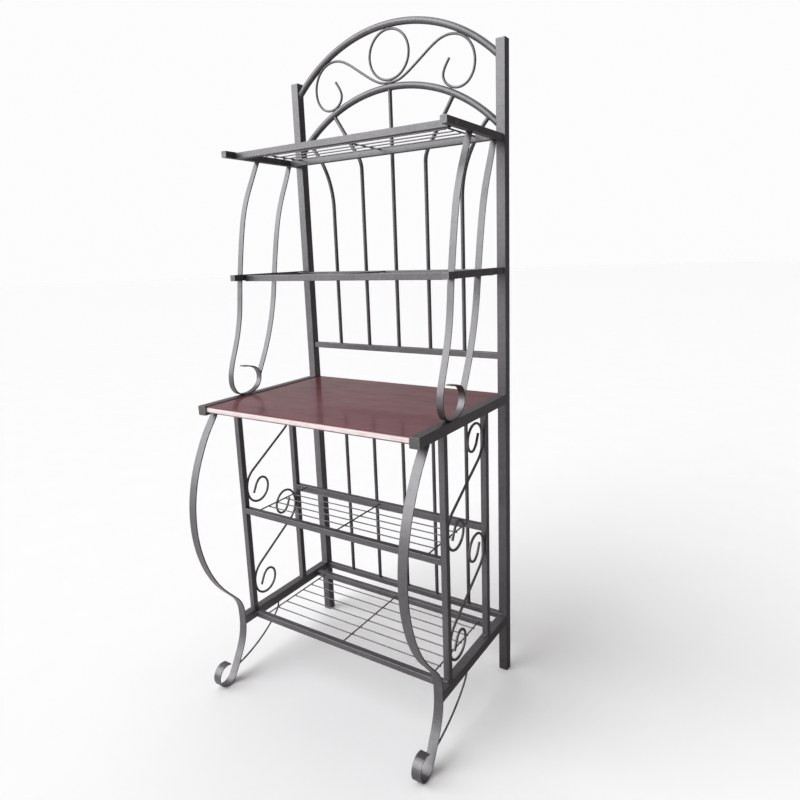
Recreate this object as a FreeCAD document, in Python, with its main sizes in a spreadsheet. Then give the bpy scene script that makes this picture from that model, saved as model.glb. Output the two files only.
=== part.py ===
import FreeCAD, Part
import os
import math
import Sketcher
from FreeCAD import Vector, Placement, Rotation

# ---------------------------------------------------------------------------
# Bakers rack: a free-standing welded and bolted steel rack with a laminated
# work top.  Row frame: +Z up, +X to the right seen from the front, the front
# faces -Y, and the origin is on the floor under the middle of the bounding
# box.  Inside each body the local Y origin is the front face of the two back
# posts; the cell datum_y moves it into the row frame.
# ---------------------------------------------------------------------------

doc = FreeCAD.newDocument("BakersRack")
sheet = doc.addObject("Spreadsheet::Sheet", "Dims")

DIMS = [
    # overall frame
    ("datum_y", 220.1, "front face of the back posts, in the row frame"),
    ("overall_width", 624.8, "outer faces of the back posts"),
    ("post_size", 23.0, "square tube of posts and long side rails"),
    ("post_wall", 1.2, "its wall"),
    ("post_height", 1549.8, "top of the back post caps"),
    ("corner_radius", 1.6, "outer corner radius of the 23 mm tube"),
    ("small_corner", 1.2, "outer corner radius of the smaller tubes"),
    ("foot_flange", 2.0, "thickness of the foot plug's flange"),
    ("cap_flange", 1.6, "thickness of the tube caps' flanges"),
    ("plug_length", 14.0, "length of the caps inside the tube"),
    # work top
    ("table_top", 749.3, "top of the work top's side rails"),
    ("board_top", 747.3, "work surface, a little below those rails"),
    ("board_thick", 16.0, "laminated board"),
    ("board_front", 400.0, "front edge of the board, ahead of the posts"),
    ("board_back", 19.0, "back edge of the board, behind the posts' front face"),
    ("board_nose", 5.5, "radius of the rounded front edge"),
    ("board_gap", 0.2, "gap each side between board and side rail"),
    ("table_rail_front", 405.0, "front end of the work top's side rails"),
    # upper shelves
    ("shelf_width", 619.8, "outer faces of the upper shelves' side rails"),
    ("shelf_rail", 15.0, "square tube of those side rails"),
    ("rail_drop", 2.0, "top of their front and rear rails, under the top of the side rails"),
    ("shelf_wall", 1.0, "its wall"),
    ("top_shelf_z", 1348.7, "top of the upper shelf's side rails"),
    ("mid_shelf_z", 1054.1, "top of the middle shelf's side rails"),
    ("top_shelf_front", 266.6, "front end of the upper shelf's side rails"),
    ("mid_shelf_front", 272.0, "front end of the middle shelf's side rails"),
    ("cross_rail", 15.0, "square tube of the front, rear and back rails and the inner posts"),
    ("cross_wall", 1.0, "its wall"),
    ("shelf_front_rail", 229.5, "centre of the front rails of the upper shelves"),
    ("shelf_rear_rail", 36.5, "centre of the rear rails of the upper shelves"),
    ("plate_thick", 3.0, "mounting plate between side rail and post"),
    # lower bay
    ("inner_front_y", 295.5, "centre of the front inner posts"),
    ("inner_rear_y", 99.5, "centre of the rear inner posts"),
    ("low_rail_top", 160.0, "top of the lower side rails"),
    ("low_rail_front", 338.0, "front end of the lower side rails"),
    ("low_shelf_z", 451.0, "top of the rails of the shelf under the work top"),
    ("base_shelf_z", 155.0, "top of the rails of the bottom shelf"),
    ("base_rear_y", 42.0, "centre of the bottom shelf's rear rail"),
    # wires
    ("cross_wire", 3.6, "shelf wires that run front to back"),
    ("long_wire", 3.0, "shelf wires that run left to right, under the others"),
    ("wire_drop", 0.4, "top of the cross wires, under the top of the rails"),
    ("cross_wire_x", 255.0, "outer cross wires, left and right of the middle"),
    ("upper_wire_first", 206.0, "front long wire of the upper shelves"),
    ("upper_wire_pitch", 32.5, "pitch of those wires"),
    ("low_wire_first", 254.0, "front long wire of the shelf under the work top"),
    ("low_wire_pitch", 31.6, "pitch of those wires"),
    ("base_wire_first", 250.5, "front long wire of the bottom shelf"),
    ("base_wire_pitch", 34.4, "pitch of those wires"),
    ("scroll_wire", 6.0, "wire of the scrolls and the ring"),
    ("brace_wire", 4.6, "wire of the leg braces"),
    # back panel
    ("back_y", 11.5, "middle plane of the back panel"),
    ("arch_tube", 16.0, "outer diameter of the upper arch"),
    ("arch_radius", 413.5, "centre line radius of the upper arch"),
    ("arch_centre_z", 1226.4, "centre height of the upper arch"),
    ("low_arch_tube", 16.0, "outer diameter of the lower arch"),
    ("low_arch_radius", 406.0, "centre line radius of the lower arch"),
    ("low_arch_centre_z", 1090.7, "centre height of the lower arch"),
    ("round_wall", 1.0, "wall of the round tubes"),
    ("upper_back_rail_z", 842.5, "centre of the upper back panel's rail"),
    ("lower_back_rail_z", 149.5, "centre of the lower back panel's rail"),
    ("bar_diameter", 9.6, "vertical back bars"),
    ("bar_wall", 0.9, "their wall"),
    ("bar_pitch_in", 96.8, "inner bars, from the middle"),
    ("bar_pitch_out", 195.6, "outer bars, from the middle"),
    ("ring_radius", 57.45, "centre line radius of the arch ring"),
    ("ring_z", 1571.35, "centre of the arch ring"),
    # flat bars
    ("leg_width", 22.0, "front leg flat bar, width"),
    ("leg_thick", 3.0, "front leg flat bar, thickness"),
    ("bracket_width", 15.0, "shelf bracket flat bar, width"),
    ("bracket_thick", 3.0, "shelf bracket flat bar, thickness"),
    # fasteners
    ("screw_shank", 4.0, "diameter of the rail screws"),
    ("screw_hole", 4.4, "their clearance holes"),
    ("screw_head", 10.0, "diameter of their pan heads"),
    ("screw_head_high", 2.4, "height of their pan heads"),
]
sheet.set("A1", "alias")
sheet.set("B1", "value_mm")
sheet.set("C1", "meaning")
for i, (alias, value, note) in enumerate(DIMS):
    row = str(i + 2)
    sheet.set("A" + row, alias)
    sheet.set("B" + row, str(value))
    sheet.setAlias("B" + row, alias)
    sheet.set("C" + row, note)
doc.recompute()
D = {alias: float(sheet.get(alias)) for alias, value, note in DIMS}

NODES = []          # (node name, object whose Shape is the node)


def node(name, obj):
    obj.Label = name
    NODES.append((name, obj))
    return obj


# ---------------------------------------------------------------------------
# helpers: bodies and sketches
# ---------------------------------------------------------------------------

def new_body(name):
    body = doc.addObject("PartDesign::Body", name + "_body")
    body.Label = name + "_body"
    body.Placement = Placement(Vector(0, D["datum_y"], 0), Rotation())
    body.setExpression("Placement.Base.y", "Dims.datum_y")
    return body


def origin_plane(body, role):
    for feature in body.Origin.OriginFeatures:
        if feature.Role == role:
            return feature
    raise ValueError(role)


def sketch_on(body, role, off, name):
    """A sketch on an origin plane, moved by three expressions or numbers."""
    sk = body.newObject("Sketcher::SketchObject", name)
    sk.AttachmentSupport = [(origin_plane(body, role), "")]
    sk.MapMode = "FlatFace"
    for axis, e in zip("xyz", off):
        sk.setExpression("AttachmentOffset.Base." + axis, str(e))
    return sk


def centred_rect(sk, wide, high):
    """A rectangle centred on the sketch origin, both sizes from the sheet."""
    a = 4.0
    p = [Vector(-a, -a, 0), Vector(a, -a, 0), Vector(a, a, 0), Vector(-a, a, 0)]
    g0 = sk.GeometryCount
    for i in range(4):
        sk.addGeometry(Part.LineSegment(p[i], p[(i + 1) % 4]), False)
    for i in range(4):
        sk.addConstraint(Sketcher.Constraint("Coincident", g0 + i, 2, g0 + (i + 1) % 4, 1))
    sk.addConstraint(Sketcher.Constraint("Horizontal", g0))
    sk.addConstraint(Sketcher.Constraint("Vertical", g0 + 1))
    sk.addConstraint(Sketcher.Constraint("Horizontal", g0 + 2))
    sk.addConstraint(Sketcher.Constraint("Vertical", g0 + 3))
    sk.addConstraint(Sketcher.Constraint("Symmetric", g0, 1, g0 + 1, 2, -1, 1))
    c = sk.addConstraint(Sketcher.Constraint("DistanceX", g0, 1, g0, 2, 2 * a))
    sk.setExpression("Constraints[%d]" % c, wide)
    c = sk.addConstraint(Sketcher.Constraint("DistanceY", g0 + 1, 1, g0 + 1, 2, 2 * a))
    sk.setExpression("Constraints[%d]" % c, high)


def centred_circle(sk, radius):
    g = sk.addGeometry(Part.Circle(Vector(0, 0, 0), Vector(0, 0, 1), 3.0), False)
    sk.addConstraint(Sketcher.Constraint("Coincident", g, 3, -1, 1))
    c = sk.addConstraint(Sketcher.Constraint("Radius", g, 3.0))
    sk.setExpression("Constraints[%d]" % c, radius)


ROLE = {"X": "YZ_Plane", "Y": "XZ_Plane", "Z": "XY_Plane"}


def pad_rect(body, along, off, length, size, wall=None, tag=""):
    """A square tube (or a solid bar without wall) padded along one axis."""
    sk = sketch_on(body, ROLE[along], off, body.Name + tag + "_profile")
    centred_rect(sk, size, size)
    if wall:
        centred_rect(sk, "%s - 2 * %s" % (size, wall), "%s - 2 * %s" % (size, wall))
    pad = body.newObject("PartDesign::Pad", body.Name + tag + "_pad")
    pad.Profile = sk
    pad.setExpression("Length", length)
    doc.recompute()
    return pad


def long_outer_edges(shape, along, size):
    """Names of the four outer long edges of a padded square tube."""
    k = "XYZ".index(along)
    box = shape.BoundBox
    lo = [box.XMin, box.YMin, box.ZMin]
    hi = [box.XMax, box.YMax, box.ZMax]
    names = []
    for i, e in enumerate(shape.Edges):
        if len(e.Vertexes) != 2:
            continue
        a = e.Vertexes[0].Point
        b = e.Vertexes[1].Point
        if abs(abs(a[k] - b[k]) - (hi[k] - lo[k])) > 0.01:
            continue
        on = [min(abs(a[j] - lo[j]), abs(a[j] - hi[j])) < 0.01 for j in range(3) if j != k]
        if all(on):
            names.append("Edge%d" % (i + 1))
    return names


def square_tube(name, along, off, length, size, wall, corner, holes=()):
    """A square tube with rounded long edges; holes run right through it.

    off is the sketch offset on the origin plane normal to the tube; holes is
    a list of (plane role, offset, radius) for through pockets."""
    body = new_body(name)
    pad = pad_rect(body, along, off, length, size, wall)
    names = long_outer_edges(pad.Shape, along, size)
    fil = body.newObject("PartDesign::Fillet", body.Name + "_corners")
    fil.Base = (pad, names)
    fil.setExpression("Radius", corner)
    doc.recompute()
    before = fil.Shape.Volume
    for n, (role, hoff, radius) in enumerate(holes):
        sk = sketch_on(body, role, hoff, body.Name + "_hole%d" % n)
        centred_circle(sk, radius)
        poc = body.newObject("PartDesign::Pocket", body.Name + "_pocket%d" % n)
        poc.Profile = sk
        poc.Type = 1            # through all
        poc.Reversed = True
        doc.recompute()
        if not poc.Shape.Volume < before - 0.5:
            poc.Reversed = False
            doc.recompute()
        if not poc.Shape.Volume < before - 0.5:
            raise RuntimeError(name + ": hole %d cuts nothing" % n)
        before = poc.Shape.Volume
    return node(name, body)


# ---------------------------------------------------------------------------
# helpers: bent bars, as straight runs joined by tangent arcs
# ---------------------------------------------------------------------------

def bend(points, radii=None, share=0.49):
    """Straight runs and tangent arcs through a list of corner points."""
    n = len(points)
    segs = []
    cur = points[0]
    for i in range(1, n - 1):
        p, q, r = points[i - 1], points[i], points[i + 1]
        a = (q[0] - p[0], q[1] - p[1])
        b = (r[0] - q[0], r[1] - q[1])
        la, lb = math.hypot(*a), math.hypot(*b)
        a = (a[0] / la, a[1] / la)
        b = (b[0] / lb, b[1] / lb)
        cross = a[0] * b[1] - a[1] * b[0]
        turn = math.atan2(cross, a[0] * b[0] + a[1] * b[1])
        if abs(turn) < 1e-4:
            continue
        ta = la * (0.9 if i == 1 else share)
        tb = lb * (0.9 if i == n - 2 else share)
        t = min(ta, tb)
        if radii and radii.get(i):
            t = min(t, radii[i] * math.tan(abs(turn) / 2))
        rad = t / math.tan(abs(turn) / 2)
        s = (q[0] - a[0] * t, q[1] - a[1] * t)
        e = (q[0] + b[0] * t, q[1] + b[1] * t)
        sgn = 1.0 if turn > 0 else -1.0
        c = (s[0] - sgn * a[1] * rad, s[1] + sgn * a[0] * rad)
        if math.hypot(s[0] - cur[0], s[1] - cur[1]) > 1e-6:
            segs.append(("L", cur, s))
        segs.append(("A", s, e, c, rad, sgn))
        cur = e
    segs.append(("L", cur, points[-1]))
    return segs


def seg_length(segs):
    total = 0.0
    for g in segs:
        if g[0] == "L":
            total += math.hypot(g[2][0] - g[1][0], g[2][1] - g[1][1])
        else:
            s, e, c, rad = g[1], g[2], g[3], g[4]
            chord = math.hypot(e[0] - s[0], e[1] - s[1])
            total += 2 * rad * math.asin(min(1.0, chord / (2 * rad)))
    return total


def sketch_segs(sk, segs):
    for g in segs:
        if g[0] == "L":
            sk.addGeometry(Part.LineSegment(Vector(g[1][0], g[1][1], 0), Vector(g[2][0], g[2][1], 0)), False)
        else:
            s, e, c, rad, sgn = g[1:]
            a0 = math.atan2(s[1] - c[1], s[0] - c[0])
            a1 = math.atan2(e[1] - c[1], e[0] - c[0])
            if sgn < 0:
                a0, a1 = a1, a0
            if a1 < a0:
                a1 += 2 * math.pi
            circle = Part.Circle(Vector(c[0], c[1], 0), Vector(0, 0, 1), rad)
            sk.addGeometry(Part.ArcOfCircle(circle, a0, a1), False)


def offset_segs(segs, h):
    """The same chain moved h to its left."""
    out = []
    for g in segs:
        if g[0] == "L":
            dx, dy = g[2][0] - g[1][0], g[2][1] - g[1][1]
            l = math.hypot(dx, dy)
            nx, ny = -dy / l * h, dx / l * h
            out.append(("L", (g[1][0] + nx, g[1][1] + ny), (g[2][0] + nx, g[2][1] + ny)))
        else:
            s, e, c, rad, sgn = g[1:]
            r2 = rad - sgn * h
            f = r2 / rad
            out.append(("A", (c[0] + (s[0] - c[0]) * f, c[1] + (s[1] - c[1]) * f),
                        (c[0] + (e[0] - c[0]) * f, c[1] + (e[1] - c[1]) * f), c, r2, sgn))
    return out


def trim_end(segs, start, axis, value):
    """Run the first or last straight out to a plane across one axis."""
    if start:
        g = segs[0]
        a, b = g[2], g[1]
    else:
        g = segs[-1]
        a, b = g[1], g[2]
    k = 0 if axis == "u" else 1
    f = (value - a[k]) / (b[k] - a[k])
    p = (a[0] + (b[0] - a[0]) * f, a[1] + (b[1] - a[1]) * f)
    if start:
        segs[0] = ("L", p, g[2])
    else:
        segs[-1] = ("L", g[1], p)


def flat_bar(body, x_mid, width, thick, points, radii=None, start=None, end=None, tag="", rounded=False):
    """A flat bar bent in the YZ plane: its edge view is padded along X."""
    sk = sketch_on(body, "YZ_Plane", ("0", "0", "%s - %s / 2" % (x_mid, width)), body.Name + tag + "_edge_view")
    segs = bend(points, radii)
    left = offset_segs(segs, thick / 2)
    right = offset_segs(segs, -thick / 2)
    for side in (left, right):
        if start:
            trim_end(side, True, *start)
        if end:
            trim_end(side, False, *end)
    sketch_segs(sk, left)
    sketch_segs(sk, right)
    a, b = left[0][1], right[0][1]
    sk.addGeometry(Part.LineSegment(Vector(a[0], a[1], 0), Vector(b[0], b[1], 0)), False)
    a, b = left[-1][2], right[-1][2]
    sk.addGeometry(Part.LineSegment(Vector(a[0], a[1], 0), Vector(b[0], b[1], 0)), False)
    pad = body.newObject("PartDesign::Pad", body.Name + tag + "_pad")
    pad.Profile = sk
    pad.setExpression("Length", width)
    doc.recompute()
    want = seg_length(segs) * thick * D[width.replace("Dims.", "")]
    got = pad.Shape.Volume
    if abs(got - want) > 0.03 * want:
        print("flat bar", body.Name, "volume", round(got), "expected about", round(want))
    return pad


def bent_wire(name, role, off, points, radius, wall=None, radii=None):
    """A round wire or tube swept along runs and arcs on one plane."""
    body = new_body(name)
    path = sketch_on(body, role, off, body.Name + "_path")
    segs = bend(points, radii)
    sketch_segs(path, segs)
    doc.recompute()
    prof = body.newObject("Sketcher::SketchObject", body.Name + "_section")
    prof.AttachmentSupport = [(path, "Edge1")]
    prof.MapMode = "NormalToEdge"
    centred_circle(prof, radius)
    if wall:
        centred_circle(prof, "%s - %s" % (radius, wall))
    doc.recompute()
    pipe = body.newObject("PartDesign::AdditivePipe", body.Name + "_sweep")
    pipe.Profile = prof
    pipe.Spine = (path, ["Edge%d" % (i + 1) for i in range(len(segs))])
    doc.recompute()
    return body, segs


# ---------------------------------------------------------------------------
# helpers: primitives
# ---------------------------------------------------------------------------

def place(obj, x="0", y="0", z="0", rot=None):
    """Local coordinates; y counts from the posts' front face."""
    obj.Placement = Placement(Vector(0, 0, 0), rot or Rotation())
    obj.setExpression("Placement.Base.x", str(x))
    obj.setExpression("Placement.Base.y", "Dims.datum_y + (%s)" % y)
    obj.setExpression("Placement.Base.z", str(z))


ALONG_X = Rotation(Vector(0, 1, 0), 90)
ALONG_NX = Rotation(Vector(0, 1, 0), -90)
ALONG_Y = Rotation(Vector(1, 0, 0), -90)
ALONG_NY = Rotation(Vector(1, 0, 0), 90)


def cylinder(name, radius, height, x="0", y="0", z="0", rot=None):
    c = doc.addObject("Part::Cylinder", name)
    c.setExpression("Radius", str(radius))
    c.setExpression("Height", str(height))
    place(c, x, y, z, rot)
    return c


def box(name, lx, ly, lz, x="0", y="0", z="0"):
    b = doc.addObject("Part::Box", name)
    b.setExpression("Length", str(lx))
    b.setExpression("Width", str(ly))
    b.setExpression("Height", str(lz))
    place(b, x, y, z)
    return b


def cut(name, base, tools):
    for i, tool in enumerate(tools):
        c = doc.addObject("Part::Cut", "%s_cut%d" % (name, i))
        c.Base = base
        c.Tool = tool
        base = c
    return base


def fuse(name, shapes):
    f = doc.addObject("Part::MultiFuse", name)
    f.Shapes = shapes
    return f


def group(name, shapes):
    g = doc.addObject("Part::Compound", name)
    g.Links = shapes
    return node(name, g)


S = "Dims."
HALF_IN = "(Dims.overall_width / 2 - Dims.post_size)"      # posts' inner faces
POST_X = "(Dims.overall_width / 2 - Dims.post_size / 2)"   # posts' middle
SHELF_X = "(Dims.shelf_width / 2 - Dims.shelf_rail / 2)"
SIDES = (("left", "-1"), ("right", "1"))

# ---------------------------------------------------------------------------
# back posts, their caps and foot plugs
# ---------------------------------------------------------------------------
for side, sg in SIDES:
    body = new_body("back_post_" + side)
    pad = pad_rect(body, "Z", ("%s * %s" % (sg, POST_X), "Dims.post_size / 2", "Dims.foot_flange"),
                   "Dims.post_height - Dims.foot_flange - Dims.cap_flange", "Dims.post_size", "Dims.post_wall")
    fil = body.newObject("PartDesign::Fillet", body.Name + "_corners")
    fil.Base = (pad, long_outer_edges(pad.Shape, "Z", D["post_size"]))
    fil.setExpression("Radius", "Dims.corner_radius")
    doc.recompute()
    node("back_post_" + side, body)


def plug_cap(name, x, y, z, size, wall, flange, up, corner):
    """Flange the size of the tube plus a plug that fits inside it, along Z."""
    fl = box(name + "_flange", size, size, flange, "%s - %s / 2" % (x, size), "%s - %s / 2" % (y, size), z)
    edges = doc.addObject("Part::Fillet", name + "_flange_round")
    doc.recompute()
    edges.Base = fl
    top = fl.Shape.BoundBox.ZMax if up else fl.Shape.BoundBox.ZMin
    sel = []
    for i, e in enumerate(fl.Shape.Edges):
        a, b = e.Vertexes[0].Point, e.Vertexes[1].Point
        if abs(a[2] - b[2]) > 0.1:
            sel.append((i + 1, D[corner], D[corner]))
    edges.Edges = sel
    inner = "(%s - 2 * %s - 0.3)" % (size, wall)
    z0 = "%s - Dims.plug_length" % z if up else "%s + %s" % (z, flange)
    pl = box(name + "_plug", inner, inner, "Dims.plug_length", "%s - %s / 2" % (x, inner), "%s - %s / 2" % (y, inner), z0)
    return fuse(name, [edges, pl])


group("post_top_caps", [plug_cap("post_cap_" + side, "%s * %s" % (sg, POST_X), "Dims.post_size / 2",
                                 "Dims.post_height - Dims.cap_flange", "Dims.post_size", "Dims.post_wall",
                                 "Dims.cap_flange", True, "corner_radius") for side, sg in SIDES])
group("post_foot_plugs", [plug_cap("foot_plug_" + side, "%s * %s" % (sg, POST_X), "Dims.post_size / 2",
                                   "0", "Dims.post_size", "Dims.post_wall",
                                   "Dims.foot_flange", False, "corner_radius") for side, sg in SIDES])

# ---------------------------------------------------------------------------
# back panel: two arches, ring, scroll, rails and bars
# ---------------------------------------------------------------------------
FLAT = Rotation(Vector(1, 0, 0), 90)


def torus(name, r1, r2, z):
    t = doc.addObject("Part::Torus", name)
    t.setExpression("Radius1", r1)
    t.setExpression("Radius2", r2)
    place(t, "0", "Dims.back_y", z, FLAT)
    return t


def arch(name, radius, tube, centre):
    outer = torus(name + "_outer", radius, "%s / 2" % tube, centre)
    bore = torus(name + "_bore", radius, "%s / 2 - Dims.round_wall" % tube, centre)
    ring = cut(name + "_tube", outer, [bore])
    span = box(name + "_span", "2 * " + HALF_IN, "60", "600", "-" + HALF_IN, "Dims.back_y - 30", "%s + 120" % centre)
    com = doc.addObject("Part::Common", name + "_between_posts")
    com.Base = ring
    com.Tool = span
    return node(name, com), outer


upper_arch, upper_outer = arch("upper_arch_tube", "Dims.arch_radius", "Dims.arch_tube", "Dims.arch_centre_z")
lower_arch, lower_outer = arch("lower_arch_tube", "Dims.low_arch_radius", "Dims.low_arch_tube", "Dims.low_arch_centre_z")
ring = torus("arch_ring", "Dims.ring_radius", "Dims.scroll_wire / 2", "Dims.ring_z")
node("arch_ring", ring)

# half of the scroll: from the low point under the ring out to the curled tip
WAVE = [(0, 1507.78), (24, 1507.78), (52, 1521.5), (90, 1547), (121, 1568.5), (145, 1581), (169, 1585.5),
        (194.5, 1581), (216.5, 1566.5), (230.5, 1544.5), (235, 1519), (230, 1493.5), (215.5, 1474.5), (195, 1466.3),
        (173.5, 1469), (156, 1481), (148.8, 1498.5), (155.5, 1516.5), (168, 1534.5)]
left = [(-x, z) for x, z in WAVE[:0:-1]]
wave_body, wave_segs = bent_wire("arch_scroll", "XZ_Plane", ("0", "0", "-Dims.back_y"), left + WAVE[1:],
                                 "Dims.scroll_wire / 2")
node("arch_scroll", cut("arch_scroll_fit", wave_body, [lower_outer, upper_outer]))


table_low = "(Dims.board_top - Dims.board_thick - Dims.cross_rail / 2)"


def back_rail(name, z):
    tube = square_tube(name, "X", ("Dims.back_y", z, "-" + HALF_IN), "2 * " + HALF_IN,
                       "Dims.cross_rail", "Dims.cross_wall", "Dims.small_corner")
    block = box(name + "_outline", "2 * " + HALF_IN, "Dims.cross_rail", "Dims.cross_rail", "-" + HALF_IN,
                "Dims.back_y - Dims.cross_rail / 2", "%s - Dims.cross_rail / 2" % z)
    return tube, block


up_rail, up_rail_outer = back_rail("upper_back_rail", "Dims.upper_back_rail_z")
lo_rail, lo_rail_outer = back_rail("lower_back_rail", "Dims.lower_back_rail_z")
tb_rail, tb_rail_outer = back_rail("table_rear_rail", table_low)

zb = D["upper_back_rail_z"] + 2.0


def under_arch(name, bar):
    """Keep the part of a bar below the arch's centre line, less the arch."""
    disc = cylinder(name + "_disc", "Dims.low_arch_radius", "60", "0", "Dims.back_y - 30", "Dims.low_arch_centre_z", ALONG_Y)
    com = doc.addObject("Part::Common", name + "_below")
    com.Base = bar
    com.Tool = disc
    return cut(name, com, [up_rail_outer, lower_outer])


# centre bar: straight, from the rail up to the arch
c_out = cylinder("bar_c_outer", "Dims.bar_diameter / 2", "Dims.low_arch_centre_z + Dims.low_arch_radius - Dims.upper_back_rail_z", "0", "Dims.back_y", "Dims.upper_back_rail_z")
c_bore = cylinder("bar_c_bore", "Dims.bar_diameter / 2 - Dims.bar_wall", "Dims.low_arch_centre_z + Dims.low_arch_radius - Dims.upper_back_rail_z", "0", "Dims.back_y", "Dims.upper_back_rail_z")
node("upper_back_bar_centre", cut("upper_back_bar_centre", c_out, [c_bore, up_rail_outer, lower_outer]))
for side, sg in SIDES:
    s = float(sg)
    xi, xo = D["bar_pitch_in"], D["bar_pitch_out"]
    b, segs = bent_wire("upper_back_bar_inner_" + side, "XZ_Plane", ("0", "0", "-Dims.back_y"),
                        [(s * xi, zb), (s * xi, 1329.0), (s * (xi + 91.0), 1468.2)],
                        "Dims.bar_diameter / 2", "Dims.bar_wall", {1: 62.0})
    node("upper_back_bar_inner_" + side, under_arch("upper_back_bar_inner_" + side, b))
    # the outer bars bow out in one long arc of 46 degrees
    rad, ang = 258.0, math.radians(46)
    tl = rad * math.tan(ang / 2)
    corner = 1213.0 + tl
    end = (xo + math.sin(ang) * (tl + 8.0), corner + math.cos(ang) * (tl + 8.0))
    b, segs = bent_wire("upper_back_bar_outer_" + side, "XZ_Plane", ("0", "0", "-Dims.back_y"),
                        [(s * xo, zb), (s * xo, corner), (s * end[0], end[1])],
                        "Dims.bar_diameter / 2", "Dims.bar_wall", {1: rad})
    node("upper_back_bar_outer_" + side, under_arch("upper_back_bar_outer_" + side, b))

lows = []
for i, x in enumerate(("-Dims.bar_pitch_out", "-Dims.bar_pitch_in", "0", "Dims.bar_pitch_in", "Dims.bar_pitch_out")):
    o = cylinder("low_bar_outer%d" % i, "Dims.bar_diameter / 2", table_low + " - Dims.lower_back_rail_z", x, "Dims.back_y", "Dims.lower_back_rail_z")
    c = cylinder("low_bar_bore%d" % i, "Dims.bar_diameter / 2 - Dims.bar_wall", table_low + " - Dims.lower_back_rail_z", x, "Dims.back_y", "Dims.lower_back_rail_z")
    lows.append(cut("lower_back_bar%d" % i, o, [c, lo_rail_outer, tb_rail_outer]))
group("lower_back_bars", lows)

# ---------------------------------------------------------------------------
# work top: side rails, caps, cross rail, board
# ---------------------------------------------------------------------------
for side, sg in SIDES:
    square_tube("table_side_rail_" + side, "Y",
                ("%s * %s" % (sg, POST_X), "Dims.table_top - Dims.post_size / 2", "0"),
                "Dims.table_rail_front - Dims.cap_flange", "Dims.post_size", "Dims.post_wall", "Dims.corner_radius")


def front_cap(name, x, y_front, z, size, wall, flange, corner):
    """Cap on the front end of a rail that runs along Y."""
    fl = box(name + "_flange", size, flange, size, "%s - %s / 2" % (x, size), "-%s" % y_front, "%s - %s / 2" % (z, size))
    doc.recompute()
    edges = doc.addObject("Part::Fillet", name + "_flange_round")
    edges.Base = fl
    sel = []
    ymin = fl.Shape.BoundBox.YMin
    for i, e in enumerate(fl.Shape.Edges):
        a, b = e.Vertexes[0].Point, e.Vertexes[1].Point
        if abs(a[1] - b[1]) > 0.1:
            sel.append((i + 1, D[corner], D[corner]))
    edges.Edges = sel
    inner = "(%s - 2 * %s - 0.3)" % (size, wall)
    pl = box(name + "_plug", inner, "Dims.plug_length", inner, "%s - %s / 2" % (x, inner), "-%s + %s" % (y_front, flange), "%s - %s / 2" % (z, inner))
    return fuse(name, [edges, pl])


group("table_rail_caps", [front_cap("table_cap_" + side, "%s * %s" % (sg, POST_X), "Dims.table_rail_front",
                                    "(Dims.table_top - Dims.post_size / 2)", "Dims.post_size", "Dims.post_wall",
                                    "Dims.cap_flange", "corner_radius") for side, sg in SIDES])

square_tube("table_cross_rail", "X",
            ("-Dims.inner_front_y", "Dims.board_top - Dims.board_thick - Dims.cross_rail / 2", "-" + HALF_IN),
            "2 * " + HALF_IN, "Dims.cross_rail", "Dims.cross_wall", "Dims.small_corner",
            holes=[("XY_Plane", ("%s * 180" % k, "-Dims.inner_front_y", "Dims.board_top - Dims.board_thick - 40"), "Dims.screw_hole / 2") for k in ("-1", "1")])

body = new_body("tabletop_board")
sk = sketch_on(body, "XY_Plane", ("0", "(Dims.board_back - Dims.board_front) / 2", "Dims.board_top - Dims.board_thick"), "board_outline")
centred_rect(sk, "2 * %s - 2 * Dims.board_gap" % HALF_IN, "Dims.board_front + Dims.board_back")
pad = body.newObject("PartDesign::Pad", "board_pad")
pad.Profile = sk
pad.setExpression("Length", "Dims.board_thick")
doc.recompute()
names = []
for i, e in enumerate(pad.Shape.Edges):
    a, b = e.Vertexes[0].Point, e.Vertexes[1].Point
    if abs(a[1] - b[1]) < 0.01 and abs(a[2] - b[2]) < 0.01 and a[1] < -D["board_front"] + D["datum_y"] * 0 + 0.01:
        names.append("Edge%d" % (i + 1))
if len(names) != 2:
    names = []
    ylow = min(v.Point[1] for v in pad.Shape.Vertexes)
    for i, e in enumerate(pad.Shape.Edges):
        a, b = e.Vertexes[0].Point, e.Vertexes[1].Point
        if abs(a[1] - ylow) < 0.01 and abs(b[1] - ylow) < 0.01 and abs(a[2] - b[2]) < 0.01:
            names.append("Edge%d" % (i + 1))
fil = body.newObject("PartDesign::Fillet", "board_nose_round")
fil.Base = (pad, names)
fil.setExpression("Radius", "Dims.board_nose")
doc.recompute()
before = fil.Shape.Volume
for k in ("-1", "1"):
    sk = sketch_on(body, "XY_Plane", ("%s * 180" % k, "-Dims.inner_front_y", "Dims.board_top - Dims.board_thick - 1"), "board_pilot" + ("a" if k == "1" else "b"))
    centred_circle(sk, "Dims.screw_shank / 2 + 0.05")
    poc = body.newObject("PartDesign::Pocket", "board_pilot_pocket" + ("a" if k == "1" else "b"))
    poc.Profile = sk
    poc.setExpression("Length", "Dims.board_thick - 4")
    poc.Reversed = True
    doc.recompute()
    if not poc.Shape.Volume < before - 20:
        poc.Reversed = False
        doc.recompute()
    if not poc.Shape.Volume < before - 20:
        raise RuntimeError("board pilot cuts nothing")
    before = poc.Shape.Volume
node("tabletop_board", body)

scr = []
for k, t in (("-1", "a"), ("1", "b")):
    zc = "Dims.board_top - Dims.board_thick - Dims.cross_rail"
    head = cylinder("board_screw_head_" + t, "Dims.screw_head / 2", "Dims.screw_head_high", "%s * 180" % k, "-Dims.inner_front_y", zc + " - Dims.screw_head_high")
    shank = cylinder("board_screw_shank_" + t, "Dims.screw_shank / 2", "Dims.cross_rail + Dims.board_thick - 6", "%s * 180" % k, "-Dims.inner_front_y", zc)
    scr.append(fuse("board_screw_" + t, [head, shank]))
group("board_screws", scr)

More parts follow.
